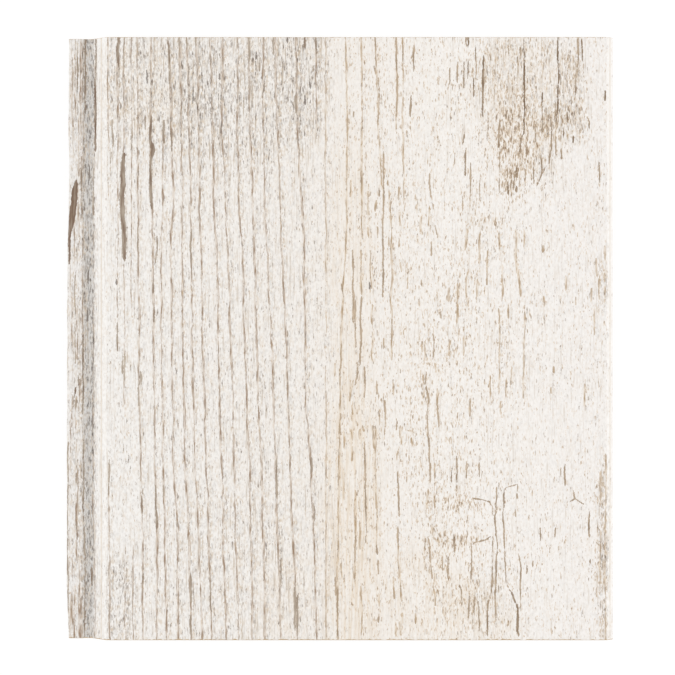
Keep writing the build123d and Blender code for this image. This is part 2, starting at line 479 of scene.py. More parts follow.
SPLITS_TONGUE = (
    dash(1.3, 77.5, 44, 89), along(1.6, (85.4, 38), (85.3, 80), (85.4, 113)),
    along(1.6, (96, 38), (95.4, 90)), along(2.2, (95.4, 82), (95.1, 152)),
    along(6.4, (76.4, 181), (74.9, 194), (73.6, 206), (71.6, 220), (69.6, 236)),
    along(6.2, (75.2, 188), (73.2, 208), (71.4, 222)), along(2.6, (70, 226), (69, 245), (68.6, 265)),
    along(1.4, (81.8, 168), (82.2, 216)), along(1.3, (93.6, 168), (93.4, 216)),
    along(1.4, (83, 334), (83.2, 416)), dash(1.1, 75.3, 274, 364), dash(1.8, 78.3, 375, 386),
    dash(1.8, 75.3, 386, 394), dash(1.6, 73.6, 394, 410), dash(1.6, 76.5, 399, 410),
    along(1.2, (67.8, 440), (67.6, 560), (67.8, 630)), dash(1.4, 76.5, 472, 486),
    dash(1.5, 77.1, 520, 546), along(1.3, (83.5, 440), (83.6, 470), (83.8, 522)),
    along(1.3, (84.4, 525), (84.8, 580), (84.9, 641)), dash(2.0, 91.3, 567, 586),
)

STREAKS_TONGUE = (
    along(1.0, (75.5, 40), (75.3, 80), (75.6, 122)), along(0.9, (72.4, 58), (72.2, 90), (72.6, 128)),
    along(1.1, (80.6, 40), (80.4, 110)), along(1.1, (83.2, 40), (83, 102)),
    along(1.1, (80.5, 104), (80.8, 180)), along(1.1, (83.5, 110), (83.3, 172)),
    along(0.9, (78.4, 118), (78.6, 176)), along(0.9, (74.4, 210), (74.2, 256)),
    along(0.9, (78.6, 188), (78.8, 252)), along(1.1, (82.6, 228), (82.8, 334)),
    along(0.9, (77, 298), (77.2, 362)), along(0.8, (72.2, 290), (72, 350)),
    along(1.1, (72.6, 394), (72.4, 426)), along(1.0, (76.2, 396), (76, 432)),
    along(1.1, (79.6, 378), (79.5, 414)), along(0.9, (70.6, 420), (70.4, 472)),
    along(1.0, (77.4, 468), (77.6, 532)), along(1.1, (76.4, 500), (76.6, 562)),
    along(1.0, (72.2, 556), (72, 632)), along(1.1, (79, 558), (79.2, 639)),
    along(1.1, (74.6, 588), (74.4, 639)), along(1.0, (70.2, 598), (70, 639)),
    along(1.1, (81.6, 596), (81.8, 639)), along(0.8, (93.2, 229), (93, 420)),
    along(0.8, (92.8, 416), (93, 500), (93.6, 560), (95.2, 600), (95.4, 641)),
)

GREY_FLECKS = (
    dash(2.0, 87.7, 307, 322), dash(1.8, 88.3, 359, 364), dash(2.0, 88.3, 271, 284),
    dash(1.8, 89.5, 165, 181), dash(2.0, 146.7, 69, 84), dash(1.6, 192.7, 85, 104),
    dash(1.5, 221, 93, 102), dash(1.5, 221.6, 121, 134), dash(2.0, 219.3, 73, 81),
    dash(2.0, 310.2, 80, 90), dash(1.8, 304.9, 94, 106), dash(1.5, 255.3, 50, 62),
    dash(2.0, 287.2, 36, 44), dash(2.0, 369, 281, 290), dash(1.8, 116.6, 279, 286),
)

WARMTH = (
    Patch((352, 520), (34, 190), 0.75),
    Patch((350, 250), (28, 140), 0.40),
    Patch((425, 600), (60, 70), 0.35),
    Patch((480, 620), (50, 40), 0.25),
    Patch((285, 600), (36, 60), 0.25),
    Patch((150, 90), (60, 60), 0.20),
    Patch((525, 100), (60, 80), 0.25),
)

# Groups of splits, each with the darkness of its wide ones
SPLITS = ((SPLITS_LEFT, 0.60), (SPLITS_MIDDLE, 0.50), (SPLITS_BAND, 0.38), (SPLITS_TOP_RIGHT, 1.00),
          (SPLITS_PATCH, 2.00), (SPLITS_LOW_RIGHT, 0.85), (SPLITS_TONGUE, 1.00))

# By column of pixels
FLAKING_BASE = ((60, 0.92), (80, 0.92), (84, 1.4), (94, 1.4), (97, 0.95), (108, 0.70), (315, 0.74),
                (345, 0.50), (400, 0.55), (430, 0.60), (500, 0.60), (540, 0.58), (600, 0.60))

FLAKING = (
    Patch((300, 75), (30, 75), 0.55),
    Patch((258, 62), (16, 34), 0.30),
    Patch((120, 600), (18, 46), 0.60),
    Patch((170, 90), (85, 75), 0.42),
    Patch((240, 110), (70, 75), 0.30),
    Patch((525, 75), (64, 62), 0.36),
    Patch((566, 122), (28, 26), 0.45),
    Patch((572, 75), (14, 44), 0.35),
    Patch((545, 160), (16, 26), 0.35),
    Patch((603, 555), (7, 115), 0.52),
    Patch((602, 285), (8, 30), 0.40),
    Patch((490, 600), (34, 50), 0.15),
    Patch((245, 560), (90, 100), 0.12),
)

GILDING_BASE = ((60, 0.52), (94, 0.52), (108, 0.42), (315, 0.42), (345, 0.78), (400, 0.88), (430, 0.93),
                (500, 0.85), (540, 0.70), (600, 0.68))

GILDING = (
    Patch((300, 75), (30, 75), 0.20),
    Patch((150, 90), (70, 70), 0.15),
    Patch((525, 75), (64, 62), 0.40),
    Patch((520, 140), (36, 52), 0.90),
    Patch((566, 122), (28, 26), 0.70),
    Patch((512, 184), (14, 20), 0.70),
    Patch((572, 75), (14, 44), 0.35),
    Patch((458, 320), (34, 70), 0.15),
    Patch((455, 540), (36, 120), 0.30),
    Patch((460, 502), (36, 7), 0.35),
    Patch((456, 541), (38, 8), 0.45),
    Patch((488, 222), (28, 6), 0.60),
    Patch((601, 555), (9, 115), 0.50),
    Patch((602, 285), (8, 30), 0.30),
    Patch((490, 600), (34, 50), 0.20),
    Patch((420, 420), (20, 120), 0.20),
)


def graded(values: Any, stops: tuple[Pixel, ...]) -> Any:
    """Reads shares off a graded line of stops, each a place and its share."""
    return np.interp(values, *np.array(stops).T)


def write(mesh: bpy.types.Mesh, name: str, values: np.ndarray) -> None:
    """Writes one value for each vertex onto a mesh, as an attribute of that name."""
    mesh.attributes.new(name, "FLOAT", "POINT").data.foreach_set("value", values.astype(np.float32))


@dataclass(frozen=True)
class WhitewashPrint:
    """Layout of the printed wood grain: where its marks lie and where it flakes."""

    view: PhotoView
    splits: tuple[tuple[tuple[Streak, ...], float], ...] = SPLITS
    rings: tuple[Streak, ...] = LATEWOOD + STROKES_BAND + SPLITS_RIGHT + STREAKS_TONGUE
    grey_flecks: tuple[Streak, ...] = GREY_FLECKS
    flaking: tuple[Patch, ...] = FLAKING
    gilding: tuple[Patch, ...] = GILDING
    warmth: tuple[Patch, ...] = WARMTH
    flaking_base: tuple[Pixel, ...] = FLAKING_BASE
    gilding_base: tuple[Pixel, ...] = GILDING_BASE
    darkness_px: tuple[Pixel, ...] = ((0.9, 0.25), (2.6, 1.0))           # share of a split's by its width
    board_px: tuple[Pixel, ...] = ((316.0, 0.0), (332.0, 1.0))
    sways_px: tuple[tuple[float, float, float], ...] = ((0.28, 17.0, 31.0), (0.18, 7.3, 11.0))
    kink_px: float = 0.30
    kink_cells_px: Pixel = (16.0, 8.0)
    seed: int = 11
    ledge_mm: tuple[Pixel, ...] = ((7.8, 1.0), (8.1, 0.0))               # shares of the tongue's painted shade, by height
    # shares of the bevels' painted light, by height
    bevel_mm: tuple[Pixel, ...] = ((8.1, 0.0), (8.6, 0.36), (11.75, 0.36), (11.95, 0.0))
    hollow_mm: tuple[Pixel, ...] = (                                     # shares of the channel's painted shade, by place across
        (-63.2, 0.0), (-61.8, 1.0), (-60.3, 1.0), (-60.1, 0.0))
    score_mm: tuple[Pixel, ...] = (
        (-58.4, 0.0), (-58.15, 0.8), (-57.9, 0.0), (65.75, 0.0), (66.0, 0.6), (66.25, 0.0))

    def wander(self, places: np.ndarray) -> np.ndarray:
        """Sways and kinks the places sideways, so that no line of the grain runs dead straight.

        Args:
            places: Pixel columns and rows, one pair for each place.

        Returns:
            The swayed places.
        """
        across, down = places.T
        sway = sum(reach * np.sin(down / rise + across / run) for reach, rise, run in self.sways_px)
        cells = places / np.array(self.kink_cells_px)
        corner = np.floor(cells).astype(int)
        share_x, share_y = (cells - corner).T
        kinks = np.random.default_rng(self.seed).normal(0.0, self.kink_px, corner.max(axis=0) + 2)
        column, row = np.maximum(corner, 0).T
        kink = ((kinks[column, row] * (1 - share_x) + kinks[column + 1, row] * share_x) * (1 - share_y)
                + (kinks[column, row + 1] * (1 - share_x) + kinks[column + 1, row + 1] * share_x) * share_y)
        return np.stack((across + sway + kink, down), axis=1)

    def lay(self, mesh: bpy.types.Mesh, places: np.ndarray, face_z: float) -> None:
        """Writes the print onto a mesh as attributes.

        Args:
            mesh: Mesh to write on.
            places: Its vertices in metres.
            face_z: Height of the finished face.
        """
        pixels = self.view.pixels(places, face_z)
        swayed = self.wander(pixels)
        across_mm, height_mm = places[:, 0] / MM, places[:, 2] / MM
        tone = np.zeros(len(places))
        splits = [(streak, darkness) for group, darkness in self.splits for streak in group]
        for mark, streaks in ((Mark.CRACK, splits),
                              (Mark.RING, [(streak, 0.0) for streak in self.rings]),
                              (Mark.GREY, [(streak, 0.0) for streak in self.grey_flecks])):
            deepest = np.full(len(places), -Streak.reach)
            offsets, halves = np.zeros(len(places)), np.zeros(len(places))
            for streak, darkness in streaks:
                near, depth, offset, half = streak.profile(swayed)
                deeper = depth > deepest[near]
                found = near[deeper]
                deepest[found] = depth[deeper]
                offsets[found] = offset[deeper]
                halves[found] = half[deeper]
                if mark is Mark.CRACK:
                    tone[found] = darkness * graded(streak.width, self.darkness_px)
            for name, values in ((mark.value, deepest), (mark.offset, offsets), (mark.half, halves)):
                write(mesh, name, values / self.view.px_per_mm)
        flaking, gilding, warmth = (np.sum([patch.weight(swayed) for patch in patches], axis=0)
                                    for patches in (self.flaking, self.gilding, self.warmth))
        for zone, values in ((Zone.TONE, tone),
                             (Zone.FLAKING, graded(pixels[:, 0], self.flaking_base) + flaking),
                             (Zone.GILDING, graded(pixels[:, 0], self.gilding_base) + gilding),
                             (Zone.WARMTH, np.clip(warmth, 0.0, 1.0)),
                             (Zone.LEDGE, graded(height_mm, self.ledge_mm)),
                             (Zone.HOLLOW, graded(across_mm, self.hollow_mm)),
                             (Zone.BEVEL, graded(height_mm, self.bevel_mm)),
                             (Zone.SCORE, graded(across_mm, self.score_mm)),
                             (Zone.BOARD, graded(pixels[:, 0], self.board_px))):
            write(mesh, zone.value, values)


class Coat(Enum):
    """Which finish a side of the plank carries."""

    PRINT = 0
    SAWN = 1
    MILLED = 2
    SANDED = 3


@dataclass(frozen=True)
class Grain:
    """Noise that is drawn out along the plank, sized by its cells in millimetres."""

    across_mm: float
    along_mm: float
    layer: float                         # place in the noise, so that no two grains are alike
    detail: float = 2.0
    distortion: float = 0.0
    through: float = 0.02                # change through the thickness, next to none

    def lay(self, tree: Tree, place_mm: Socket) -> Socket:
        """Lays the noise.

        Args:
            tree: Node tree of the material.
            place_mm: Places on the plank in millimetres.

        Returns:
            The noise, about 0.5 on average.
        """
        cells = add_node(tree, "ShaderNodeVectorMath",
                         {0: place_mm, 1: (1 / self.across_mm, 1 / self.along_mm, self.through),
                          2: (self.layer, self.layer, self.layer)}, operation="MULTIPLY_ADD")
        return add_node(tree, "ShaderNodeTexNoise", {"Vector": cells, "Scale": 1.0, "Detail": self.detail,
                                                    "Distortion": self.distortion})


@dataclass(frozen=True)
class Ink:
    """One ink of the print, from its faint tone to its full one."""

    pale: str
    dark: str
    faint_cover: float
    full_cover: float

    def lay(self, tree: Tree, ground: Socket, amount: Socket,
            strength: Socket) -> Socket:
        """Prints the ink over a ground.

        Args:
            tree: Node tree of the material.
            ground: Colour under the ink.
            amount: Where the ink lies, from 0 to 1.
            strength: How full its tone is, from 0 to 1.

        Returns:
            The printed colour.
        """
        tone = add_node(tree, "ShaderNodeMix",
                        {0: strength, 6: to_linear(self.pale), 7: to_linear(self.dark)},
                        out=2, data_type="RGBA")
        cover = add_node(tree, "ShaderNodeMapRange",
                         {"Value": strength, "To Min": self.faint_cover, "To Max": self.full_cover})
        share = add_node(tree, "ShaderNodeMath", {0: amount, 1: cover}, operation="MULTIPLY")
        return add_node(tree, "ShaderNodeMix", {0: share, 6: ground, 7: tone}, out=2, data_type="RGBA")


@dataclass(frozen=True)
class Roughening:
    """How far noise eats into the edges of one kind of mark, in millimetres."""

    fine: float
    breaks: float
    fading: float = 0.0
    trim: float = 0.0                    # taken off all round, or added if negative

    def cut(self, tree: Tree, depth: Socket,
            noises: tuple[Socket, ...]) -> Socket:
        """Roughens a mark's edges.

        Args:
            tree: Node tree of the material.
            depth: How deep inside the mark a place lies.
            noises: The fine, the breaking and the fading noise.

        Returns:
            The roughened depth.
        """
        shares = (self.fine, self.breaks, self.fading)
        for noise, share in zip(noises, shares):
            depth = add_node(tree, "ShaderNodeMath", {0: noise, 1: share, 2: depth},
                             operation="MULTIPLY_ADD")
        return add_node(tree, "ShaderNodeMath", {0: depth, 1: sum(shares) / 2 + self.trim},
                        operation="SUBTRACT")


ROUGHENING = {
    Mark.CRACK: Roughening(0.5, 0.5),
    Mark.RING: Roughening(0.32, 0.65, 0.42, -0.05),
    Mark.GREY: Roughening(0.5, 0.3),
}

# Where each noise, mark or layer starts to show and where it shows in full
RAMPS = {
    "cream": (0.35, 0.65),
    "mottle": (0.34, 0.72),
    "fibres": (0.53, 0.70),
    "presence": (0.34, 0.66),
    "streaks": (0.30, 0.70),
    "tints": (0.38, 0.62),
    "ring": (-0.055, 0.055),
    "golden": (-0.022, 0.022),
    "golden_tone": (0.0, 0.18),
    "brown": (-0.02, 0.02),
    "brown_tone": (0.0, 0.18),
    "weathered": (-0.06, 0.08),
    "split": (-0.05, 0.05),
    "board": (0.0, 1.0),
}


@dataclass(frozen=True)
class WhitewashFilm:
    """Whitewashed wood-grain print, a matt paper film pressed onto the board.

    It gives the eye a soft, nearly even white in which thin tan latewood lines, brown splits and short
    flecks show as if the paint had worn off old boards.
    """

    clean_mm: tuple[tuple[float, str], ...] = (
        (-66.75, "#F4F1EE"), (-57.0, "#F6F3EF"), (-20.0, "#F5F1EC"), (5.0, "#F5F0EA"), (26.0, "#F8F4EF"),
        (60.0, "#F7F3EF"))
    # a shade darker than the face on the tongue's top: painted shade from the shoulder beside it
    ledge_painted_shade: str = "#F0EDE9"
    # grey in the staple channel: painted shade
    hollow_painted_shade: str = "#DCDAD7"
    # whiter than the face on the bevels: painted light, as they face the light boxes
    bevel_painted_light: str = "#FDFCFA"
    score_tan: str = "#DECFBC"
    cream_ink: Ink = Ink("#F6EEE2", "#E4D0B5", 0.35, 0.80)
    mottle_ink: Ink = Ink("#C7C2BC", "#D0BDA4", 0.38, 0.38)
    fibre_ink: Ink = Ink("#CDBFAE", "#BEAD98", 0.0, 0.40)
    grey_ring_ink: Ink = Ink("#D0BBA4", "#8D6E4F", 0.30, 0.88)
    gold_ring_ink: Ink = Ink("#DAC3A2", "#A58760", 0.34, 0.86)
    golden_ink: Ink = Ink("#D5BA96", "#886A48", 0.52, 0.92)
    brown_ink: Ink = Ink("#BAAEA3", "#6F6257", 0.48, 0.92)
    # greyer, darker flecks in the staple channel: painted shade over the brown flecks there
    fleck_painted_shade_ink: Ink = Ink("#A6A19C", "#6A645F", 0.40, 0.88)
    grey_ink: Ink = Ink("#7F746B", "#7F746B", 0.9, 0.9)
    grey_split_ink: Ink = Ink("#C0B2A0", "#755C47", 0.92, 0.98)
    gold_split_ink: Ink = Ink("#C4AE94", "#745C42", 0.92, 0.98)
    mottle: Grain = Grain(0.42, 0.9, 3.1)
    cream_streaks: Grain = Grain(0.5, 10.0, 7.7)
    fibres: Grain = Grain(0.28, 7.0, 11.3)
    fine: Grain = Grain(0.30, 0.85, 17.9, detail=1.5, distortion=0.9)
    golden_dashes: Grain = Grain(0.32, 1.5, 67.3, detail=1.5, distortion=0.5)
    brown_dashes: Grain = Grain(0.30, 2.2, 31.1, detail=1.5)
    presence: Grain = Grain(0.5, 3.6, 23.7)
    breaks: Grain = Grain(0.9, 3.6, 87.1, detail=2.5)
    fading: Grain = Grain(2.6, 24.0, 61.9)
    tints: Grain = Grain(0.8, 2.0, 97.3)
    clusters: Grain = Grain(2.2, 9.0, 53.3)
    streaks: Grain = Grain(0.6, 4.0, 41.7)
    coarse_slope: float = 5.0            # how fast the coarse depth of a mark counts off its ends
    coarse_room_mm: float = 0.42
    shade_mm: tuple[Pixel, Pixel] = ((0.12, 0.42), (1.5, 0.7))     # where flecks gather, right of a ring
    core_mm: Pixel = (-0.20, 0.10)       # and along its middle
    gap_cells_mm: tuple[float, float] = (0.70, 2.6)      # cells of the paint, whose borders stay clean
    gap_through: float = 0.02
    gap_border: float = 0.22
    fleck_level: float = -0.828          # flecks show where this and all the pulls come to more than 0
    fine_pull: float = 0.48
    cluster_pull: float = 0.12
    shade_pull: float = 0.022
    core_pull: float = 0.035
    gap_pull: float = 0.10
    dash_pull: float = 0.52
    zone_pull: float = 0.135
    streak_tone: float = 0.6             # how much a split's tone changes along it
    calm_flaking: float = 0.3            # flaking at which the ground is calmest
    ground_shares: Pixel = (0.05, 2.0)   # mottle and fibres where little and where much flakes
    shaded_shares: Pixel = (0.75, 1.35)  # mottle away from a ring and beside it
    fleck_relief: float = 0.6            # of the relief of a split
    relief_strength: float = 0.5
    relief_depth: float = 0.05 * MM
    roughness: float = 0.55
    ior: float = 1.46
    half_width_mm: float = 66.75

    def build(self) -> bpy.types.Material:
        """Makes the film's material.

        Returns:
            The material.
        """
        material = bpy.data.materials.new("matt_whitewash_print_film")
        material.use_nodes = True
        tree = material.node_tree
        tree.nodes.clear()
        place = add_node(tree, "ShaderNodeTexCoord", out="Object")
        place_mm = add_node(tree, "ShaderNodeVectorMath", {0: place, "Scale": 1 / MM}, operation="SCALE")
        layers = self.read_layers(tree)
        shade = self.shade_rings(tree)
        fine = self.fine.lay(tree, place_mm)
        excess = self.gather_flecks(tree, place_mm, layers, fine, shade)
        noises = (fine, self.breaks.lay(tree, place_mm), self.fading.lay(tree, place_mm))
        edges = {mark: roughening.cut(tree, layers[mark], noises) for mark, roughening in ROUGHENING.items()}
        sources = {
            "ring": edges[Mark.RING],
            "weathered": edges[Mark.GREY],
            "split": edges[Mark.CRACK],
            "golden": excess[Zone.GILDING],
            "golden_tone": excess[Zone.GILDING],
            "brown": excess[Zone.FLAKING],
            "brown_tone": excess[Zone.FLAKING],
            "board": layers[Zone.BOARD],
        }
        for name, grain in (("cream", self.cream_streaks), ("mottle", self.mottle), ("fibres", self.fibres),
                            ("presence", self.presence), ("streaks", self.streaks), ("tints", self.tints)):
            sources[name] = grain.lay(tree, place_mm)
        eased = {}
        for name, source in sources.items():
            low, high = RAMPS[name]
            eased[name] = add_node(tree, "ShaderNodeMapRange",
                                   {"Value": source, "From Min": low, "From Max": high},
                                   interpolation_type="SMOOTHSTEP")
        colour = self.lay_inks(tree, self.clean_paint(tree, place_mm), layers, eased, shade)
        pressed = add_node(tree, "ShaderNodeMath", {0: eased["brown"], 1: self.fleck_relief},
                           operation="MULTIPLY")
        pressed = add_node(tree, "ShaderNodeMath", {0: eased["split"], 1: pressed}, operation="MAXIMUM")
        relief = add_node(tree, "ShaderNodeBump", {"Strength": self.relief_strength,
                                                   "Distance": self.relief_depth, "Height": pressed},
                          invert=True)
        shader = add_node(tree, "ShaderNodeBsdfPrincipled",
                          {"Base Color": colour, "Roughness": self.roughness, "IOR": self.ior,
                           "Normal": relief})
        add_node(tree, "ShaderNodeOutputMaterial", {"Surface": shader})
        return material

    def read_layers(self, tree: Tree) -> dict[Mark | Zone, Socket]:
        """Reads the print's layout off the mesh.

        Args:
            tree: Node tree of the material.

        Returns:
            How deep a place lies inside each kind of mark, and its share in each zone.
        """
        layers = {layer: add_node(tree, "ShaderNodeAttribute", out="Fac", attribute_name=layer.value)
                  for layer in (*Mark, *Zone)}
        for mark in Mark:
            offset = add_node(tree, "ShaderNodeAttribute", out="Fac", attribute_name=mark.offset)
            half = add_node(tree, "ShaderNodeAttribute", out="Fac", attribute_name=mark.half)
            aside = add_node(tree, "ShaderNodeMath", {0: offset}, operation="ABSOLUTE")
            exact = add_node(tree, "ShaderNodeMath", {0: half, 1: aside}, operation="SUBTRACT")
            coarse = add_node(tree, "ShaderNodeMath",
                              {0: layers[mark], 1: self.coarse_slope, 2: self.coarse_room_mm},
                              operation="MULTIPLY_ADD")
            layers[mark] = add_node(tree, "ShaderNodeMath", {0: exact, 1: coarse}, operation="MINIMUM")
        return layers

    def shade_rings(self, tree: Tree) -> Socket:
        """Tells how far a place lies in the shade on the right of a ring, from 0 to 1."""
        aside = add_node(tree, "ShaderNodeAttribute", out="Fac", attribute_name=Mark.RING.offset)
        begun, ended = (add_node(tree, "ShaderNodeMapRange",
                                 {"Value": aside, "From Min": none, "From Max": full},
                                 interpolation_type="SMOOTHSTEP")
                        for none, full in self.shade_mm)
        return add_node(tree, "ShaderNodeMath", {0: begun, 1: ended}, operation="MULTIPLY")

    def gather_flecks(self, tree: Tree, place_mm: Socket, layers: dict[Mark | Zone, Socket], fine: Socket,
                      shade: Socket) -> dict[Zone, Socket]:
        """Tells where the paint has flaked off in short flecks.

        Args:
            tree: Node tree of the material.
            place_mm: Places on the plank in millimetres.
            layers: The print's layout.
            fine: Fine noise that the flecks' edges follow.
            shade: Shade on the right of a ring, where more flecks gather.

        Returns:
            For golden and for brown flecks, how far over the level a place is.
        """
        start, full = self.core_mm
        core = add_node(tree, "ShaderNodeMapRange",
                        {"Value": layers[Mark.RING], "From Min": start, "From Max": full},
                        interpolation_type="SMOOTHSTEP")
        across_mm, along_mm = self.gap_cells_mm
        cells = add_node(tree, "ShaderNodeVectorMath",
                         {0: place_mm, 1: (1 / across_mm, 1 / along_mm, self.gap_through)},
                         operation="MULTIPLY")
        border = add_node(tree, "ShaderNodeTexVoronoi", {"Vector": cells, "Scale": 1.0}, out="Distance",
                          feature="DISTANCE_TO_EDGE")
        gaps = add_node(tree, "ShaderNodeMapRange", {"Value": border, "From Max": self.gap_border},
                        interpolation_type="SMOOTHSTEP")
        clusters = self.clusters.lay(tree, place_mm)
        gathered = self.fleck_level
        for term, pull in ((fine, self.fine_pull), (clusters, self.cluster_pull), (shade, self.shade_pull),
                           (core, self.core_pull), (gaps, self.gap_pull)):
            gathered = add_node(tree, "ShaderNodeMath", {0: term, 1: pull, 2: gathered},
                                operation="MULTIPLY_ADD")
        excess = {}
        for zone, grain in ((Zone.GILDING, self.golden_dashes), (Zone.FLAKING, self.brown_dashes)):
            wear = add_node(tree, "ShaderNodeMath",
                            {0: grain.lay(tree, place_mm), 1: self.dash_pull, 2: gathered},
                            operation="MULTIPLY_ADD")
            excess[zone] = add_node(tree, "ShaderNodeMath", {0: layers[zone], 1: self.zone_pull, 2: wear},
                                    operation="MULTIPLY_ADD")
        return excess

    def lay_inks(self, tree: Tree, paint: Socket,
                 layers: dict[Mark | Zone, Socket], eased: dict[str, Socket],
                 shade: Socket) -> Socket:
        """Prints all the inks over the clean paint, from the palest to the splits.

        Args:
            tree: Node tree of the material.
            paint: Clean paint.
            layers: The print's layout.
            eased: Noises, marks and layers from 0 to 1, by the names in RAMPS.
            shade: Shade on the right of a ring.

        Returns:
            The print's colour.
        """
        ground = paint
        # Painted shade: darker on the tongue's top and grey in the staple channel.
        for zone, colour in ((Zone.LEDGE, self.ledge_painted_shade), (Zone.HOLLOW, self.hollow_painted_shade)):
            ground = add_node(tree, "ShaderNodeMix", {0: layers[zone], 6: ground, 7: to_linear(colour)},
                              out=2, data_type="RGBA")
        least, most = self.ground_shares
        busy = add_node(tree, "ShaderNodeMapRange", {"Value": layers[Zone.FLAKING],
                                                     "From Min": self.calm_flaking,
                                                     "To Min": least, "To Max": most})
        away, beside = self.shaded_shares
        shaded = add_node(tree, "ShaderNodeMapRange", {"Value": shade, "To Min": away, "To Max": beside})
        mottled = add_node(tree, "ShaderNodeMath", {0: eased["mottle"], 1: busy}, operation="MULTIPLY")
        mottled = add_node(tree, "ShaderNodeMath", {0: mottled, 1: shaded}, operation="MULTIPLY")
        drawn = add_node(tree, "ShaderNodeMath", {0: eased["fibres"], 1: busy}, operation="MULTIPLY")
        # brown flecks where the channel's painted shade lies, to be greyed as painted shade
        flecks_in_painted_shade = add_node(tree, "ShaderNodeMath", {0: eased["brown"], 1: layers[Zone.HOLLOW]},
                         operation="MULTIPLY")
        golden_board = eased["board"]
        grey_board = add_node(tree, "ShaderNodeMath", {0: 1.0, 1: golden_board}, operation="SUBTRACT")

        ground = self.cream_ink.lay(tree, ground, layers[Zone.WARMTH], eased["cream"])
        ground = self.mottle_ink.lay(tree, ground, mottled, eased["tints"])
        ground = self.fibre_ink.lay(tree, ground, drawn, eased["fibres"])
        for ink, board in ((self.grey_ring_ink, grey_board), (self.gold_ring_ink, golden_board)):
            amount = add_node(tree, "ShaderNodeMath", {0: eased["ring"], 1: board}, operation="MULTIPLY")
            ground = ink.lay(tree, ground, amount, eased["presence"])
        ground = self.golden_ink.lay(tree, ground, eased["golden"], eased["golden_tone"])
        ground = self.brown_ink.lay(tree, ground, eased["brown"], eased["brown_tone"])
        ground = self.fleck_painted_shade_ink.lay(tree, ground, flecks_in_painted_shade, eased["brown_tone"])
        # Painted light on the bevels, then the thin tan score line.
        for zone, colour in ((Zone.BEVEL, self.bevel_painted_light), (Zone.SCORE, self.score_tan)):
            ground = add_node(tree, "ShaderNodeMix", {0: layers[zone], 6: ground, 7: to_linear(colour)},
                              out=2, data_type="RGBA")
        ground = self.grey_ink.lay(tree, ground, eased["weathered"], eased["weathered"])
        tone = add_node(tree, "ShaderNodeMath",
                        {0: eased["streaks"], 1: self.streak_tone, 2: layers[Zone.TONE]},
                        operation="MULTIPLY_ADD")
        tone = add_node(tree, "ShaderNodeMath", {0: tone, 1: self.streak_tone / 2}, operation="SUBTRACT",
                        use_clamp=True)
        for ink, board in ((self.grey_split_ink, grey_board), (self.gold_split_ink, golden_board)):
            amount = add_node(tree, "ShaderNodeMath", {0: eased["split"], 1: board}, operation="MULTIPLY")
            ground = ink.lay(tree, ground, amount, tone)
        return ground

    def clean_paint(self, tree: Tree, place_mm: Socket) -> Socket:
        """Lays the unmarked whitewash, which changes a little across the plank.

        Args:
            tree: Node tree of the material.
            place_mm: Places on the plank in millimetres.

        Returns:
            The paint's colour.
        """
        across = add_node(tree, "ShaderNodeSeparateXYZ", {0: place_mm}, out="X")
        width_mm = 2 * self.half_width_mm
        station = add_node(tree, "ShaderNodeMath", {0: across, 1: 1 / width_mm, 2: 0.5},
                           operation="MULTIPLY_ADD")
        paint = add_node(tree, "ShaderNodeValToRGB", {0: station})
        stops = paint.node.color_ramp.elements
        while len(stops) < len(self.clean_mm):
            stops.new(1.0)
        for stop, (at_mm, colour) in zip(stops, self.clean_mm):
            stop.position = at_mm / width_mm + 0.5
            stop.color = to_linear(colour)
        return paint


